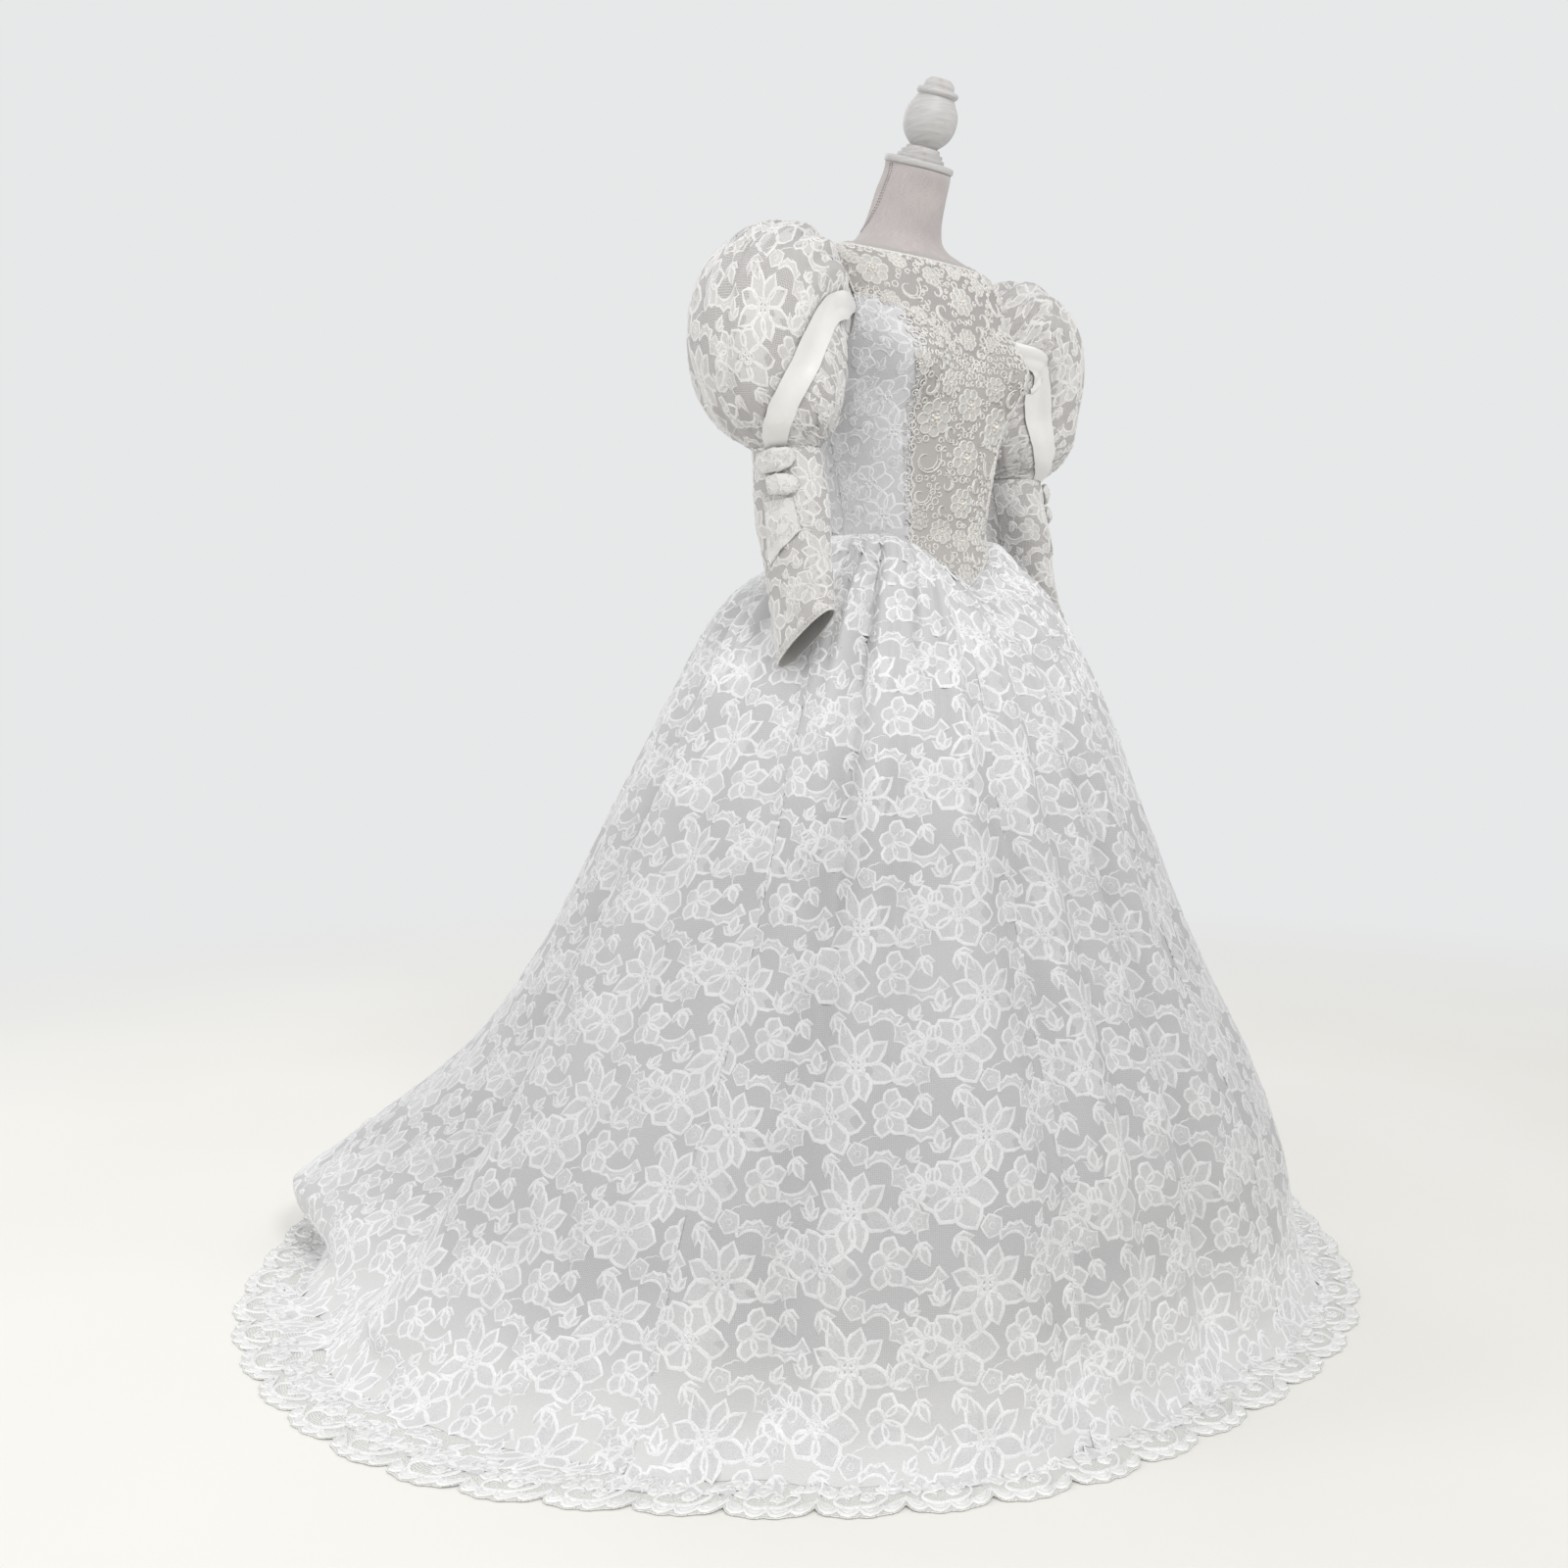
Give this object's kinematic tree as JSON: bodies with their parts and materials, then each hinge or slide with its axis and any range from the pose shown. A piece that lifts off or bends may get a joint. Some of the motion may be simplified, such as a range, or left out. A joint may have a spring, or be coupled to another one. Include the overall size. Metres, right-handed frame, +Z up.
{
  "type": "wedding dress on a dress form",
  "caption": "Floral lace wedding dress with puff sleeves, sheer yoke, pointed waist, full skirt and scalloped train, on a limbless dress form.",
  "frame": {"origin": "centre of the underside of the stand's round base, on the floor", "axes": "+Z up; the dress faces -Y and its train runs towards +Y; +X is the dress's left side"},
  "size_m": [1.693, 1.8605, 1.6951],
  "materials": {
    "beaded_lace": "raised beaded lace, pearly ivory",
    "bodice_lace": "white floral lace over satin lining",
    "border_lace": "scalloped corded lace border",
    "form_linen": "matte off-white linen",
    "satin": "plain ivory satin",
    "skirt_lace": "white floral lace on fine net over a pale grey lining",
    "sleeve_lace": "unlined floral lace, ivory",
    "white_wood": "white paint, slightly uneven",
    "yoke_lace": "sheer net with corded lace flowers"
  },
  "bodies": {
    "root": {"applique_front": "beaded_lace", "back_placket": "satin", "bodice_back_left": "bodice_lace", "bodice_back_right": "bodice_lace", "bodice_front": "bodice_lace", "bow_loop_lower_left": "sleeve_lace", "bow_loop_lower_right": "sleeve_lace", "bow_loop_upper_left": "sleeve_lace", "bow_loop_upper_right": "sleeve_lace", "bow_tail_left": "sleeve_lace", "bow_tail_right": "sleeve_lace", "finial": "white_wood", "form_torso": "form_linen", "hem_lace_front": "border_lace", "hem_lace_left": "border_lace", "hem_lace_right": "border_lace", "hem_lace_train_left": "border_lace", "hem_lace_train_right": "border_lace", "neck_cap": "white_wood", "neck_edging": "beaded_lace", "puff_left": "sleeve_lace", "puff_right": "sleeve_lace", "satin_band_left": "satin", "satin_band_right": "satin", "skirt_front": "skirt_lace", "skirt_side_back_left": "skirt_lace", "skirt_side_back_right": "skirt_lace", "skirt_side_front_left": "skirt_lace", "skirt_side_front_right": "skirt_lace", "skirt_side_left": "skirt_lace", "skirt_side_right": "skirt_lace", "skirt_train_left": "skirt_lace", "skirt_train_right": "skirt_lace", "sleeve_left": "sleeve_lace", "sleeve_right": "sleeve_lace", "stand_base": "white_wood", "stand_pole": "white_wood", "yoke_back_left": "yoke_lace", "yoke_back_right": "yoke_lace", "yoke_front": "yoke_lace"}
  },
  "joints": []
}
